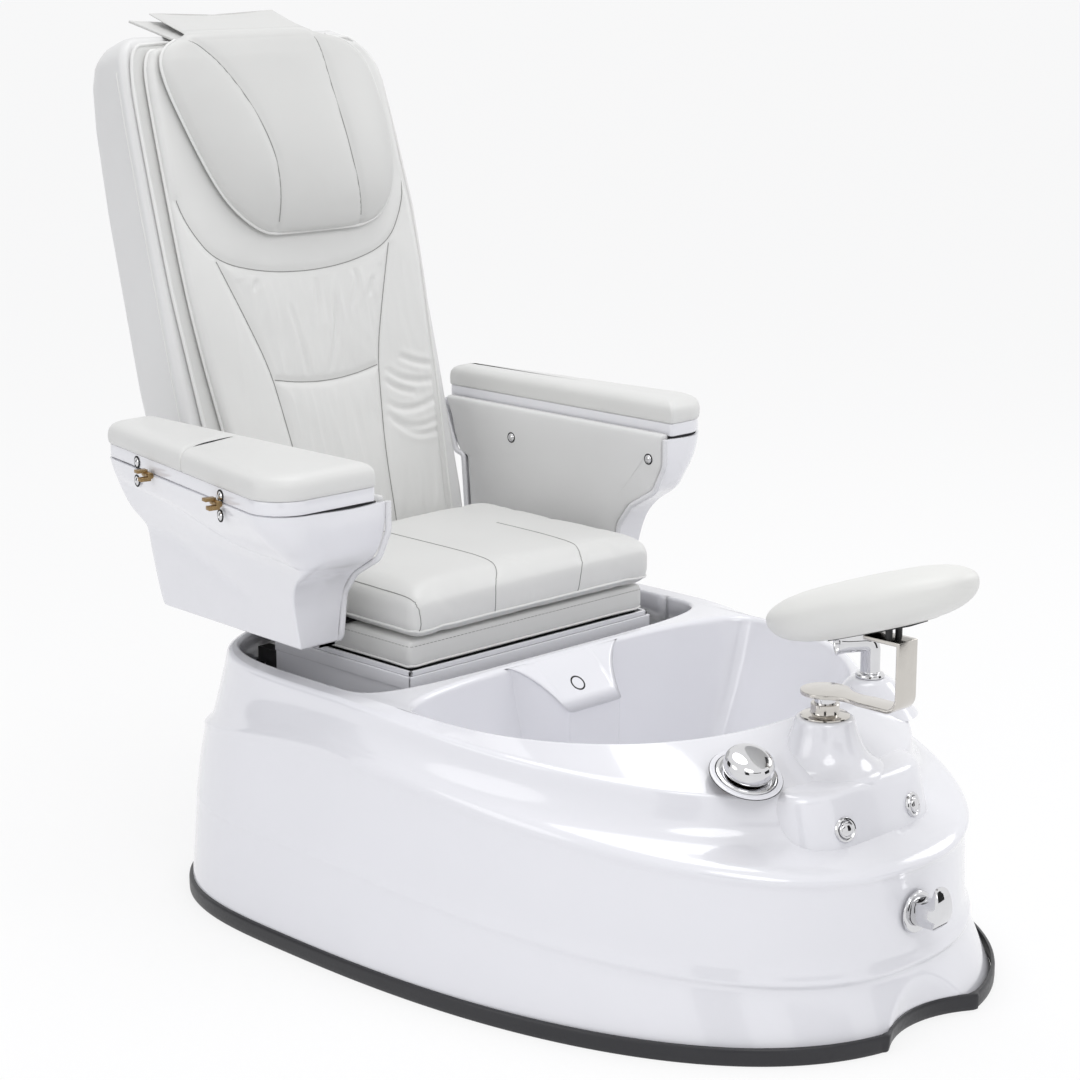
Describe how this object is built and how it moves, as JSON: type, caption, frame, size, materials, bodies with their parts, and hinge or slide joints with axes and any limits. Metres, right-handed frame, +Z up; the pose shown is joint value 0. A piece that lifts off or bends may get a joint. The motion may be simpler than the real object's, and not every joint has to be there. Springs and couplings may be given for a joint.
{
  "type": "pedicure spa chair",
  "caption": "Reclining armchair on a moulded foot-bath tub, with padded footrest on a swivel post, mixer, spout and drain controls.",
  "frame": {"origin": "centre of the whole chair's box on the floor", "axes": "+Z up, the sitter faces -Y, +X is the sitter's left"},
  "size_m": [0.9971, 1.624, 1.3715],
  "materials": {
    "shell_gloss": "polished gel coat",
    "trim_rubber": "satin black",
    "upholstery": "soft grained, warm white",
    "chrome": "mirror polished",
    "steel_polished": "polished",
    "frame_black": "satin powder coat",
    "hinge_brass": "dull plated",
    "plastic_black": "matt",
    "plastic_white": "matt",
    "pipe_grey": "matt"
  },
  "bodies": {
    "base": {"tub_shell": "shell_gloss", "base_trim": "trim_rubber", "footrest_socket": "chrome", "spout_flange": "chrome", "mixer_valve": "hinge_brass", "mixer_escutcheon": "chrome", "button_bezels": "chrome", "air_switches": "plastic_black", "drain_escutcheon": "chrome", "drain_cable_box": "plastic_black", "basin_drain": "chrome", "waste_pipe": "pipe_grey", "jet_cover": "shell_gloss", "jet_motor": "plastic_black", "water_inlets": "hinge_brass", "supply_hoses": "steel_polished", "mixed_pipe": "pipe_grey", "base_frame": "frame_black", "levelling_feet": "plastic_black", "chair_stand": "frame_black", "slide_rails": "steel_polished", "pedestal": "plastic_white"},
    "mixer_handle": {"mixer_knob": "chrome"},
    "button_right": {"push_button_right": "chrome"},
    "button_left": {"push_button_left": "chrome"},
    "drain_handle": {"drain_knob": "chrome"},
    "plug": {"drain_plug": "chrome"},
    "footrest_stem": {"footrest_post": "chrome"},
    "footrest": {"footrest_bracket": "steel_polished", "footrest_pad": "upholstery", "pad_cradle": "frame_black"},
    "filler_spout": {"spout": "chrome"},
    "seat": {"seat_carriage": "frame_black", "seat_base_cushion": "upholstery", "seat_cushion": "upholstery", "arm_straps": "frame_black", "arm_shell_right": "shell_gloss", "arm_tray_right": "plastic_white", "arm_panel_right": "upholstery", "arm_bead_right": "upholstery", "arm_shell_left": "shell_gloss", "arm_tray_left": "plastic_white", "arm_panel_left": "upholstery", "arm_bead_left": "upholstery", "arm_studs": "chrome", "lid_hinges": "hinge_brass"},
    "lid_right": {"arm_lid_right": "shell_gloss", "lid_knuckles_right": "hinge_brass", "arm_pad_front_right": "upholstery", "arm_pad_rear_right": "upholstery"},
    "lid_left": {"arm_lid_left": "shell_gloss", "lid_knuckles_left": "hinge_brass", "arm_pad_left": "upholstery"},
    "backrest": {"back_frame": "frame_black", "back_shell": "upholstery", "back_surround": "upholstery", "back_cushion": "upholstery", "head_pillow": "upholstery", "pillow_flap": "upholstery"}
  },
  "joints": [
    {"name": "mixer_turn", "type": "hinge", "parent": "base", "child": "mixer_handle", "pos_m": [-0.1415, -0.572, 0.369], "axis": [-0.1257, -0.3868, 0.9135], "range_deg": [-90, 90]},
    {"name": "button_right_push", "type": "slide", "parent": "base", "child": "button_right", "axis": [0.2017, 0.9491, -0.2419], "range_m": [0, 0.004], "stiffness_N_per_m": 600, "springref_m": -0.002},
    {"name": "button_left_push", "type": "slide", "parent": "base", "child": "button_left", "axis": [-0.2017, 0.9491, -0.2419], "range_m": [0, 0.004], "stiffness_N_per_m": 600, "springref_m": -0.002},
    {"name": "drain_turn", "type": "hinge", "parent": "base", "child": "drain_handle", "pos_m": [0.0305, -0.742, 0.169], "axis": [0, -1, 0], "range_deg": [0, 90]},
    {"name": "plug_lift", "type": "slide", "parent": "base", "child": "plug", "axis": [0, 0, 1], "range_m": [0, 0.01]},
    {"name": "footrest_height", "type": "slide", "parent": "base", "child": "footrest_stem", "axis": [0, 0, 1], "range_m": [0, 0.06]},
    {"name": "footrest_swivel", "type": "hinge", "parent": "footrest_stem", "child": "footrest", "pos_m": [0.0305, -0.57, 0.417], "axis": [0, 0, 1], "range_deg": [-60, 60]},
    {"name": "spout_swivel", "type": "hinge", "parent": "base", "child": "filler_spout", "pos_m": [0.2625, -0.468, 0.406], "axis": [0, 0, 1], "range_deg": [-40, 40]},
    {"name": "seat_slide", "type": "slide", "parent": "base", "child": "seat", "axis": [0, 1, 0], "range_m": [0, 0.1]},
    {"name": "lid_right_open", "type": "hinge", "parent": "seat", "child": "lid_right", "pos_m": [-0.39686, 0.56432, 0.69075], "axis": [-0.2036, -0.9791, 0], "range_deg": [0, 100]},
    {"name": "lid_left_open", "type": "hinge", "parent": "seat", "child": "lid_left", "pos_m": [0.42698, 0.57556, 0.69075], "axis": [-0.0867, 0.9962, 0], "range_deg": [0, 100]},
    {"name": "back_recline", "type": "hinge", "parent": "seat", "child": "backrest", "pos_m": [0.0305, 0.477, 0.441], "axis": [-1, 0, 0], "range_deg": [0, 35]}
  ],
  "couplings": [
    {"joint": "plug_lift", "follows": "drain_turn", "m_per_rad": 0.006366}
  ]
}
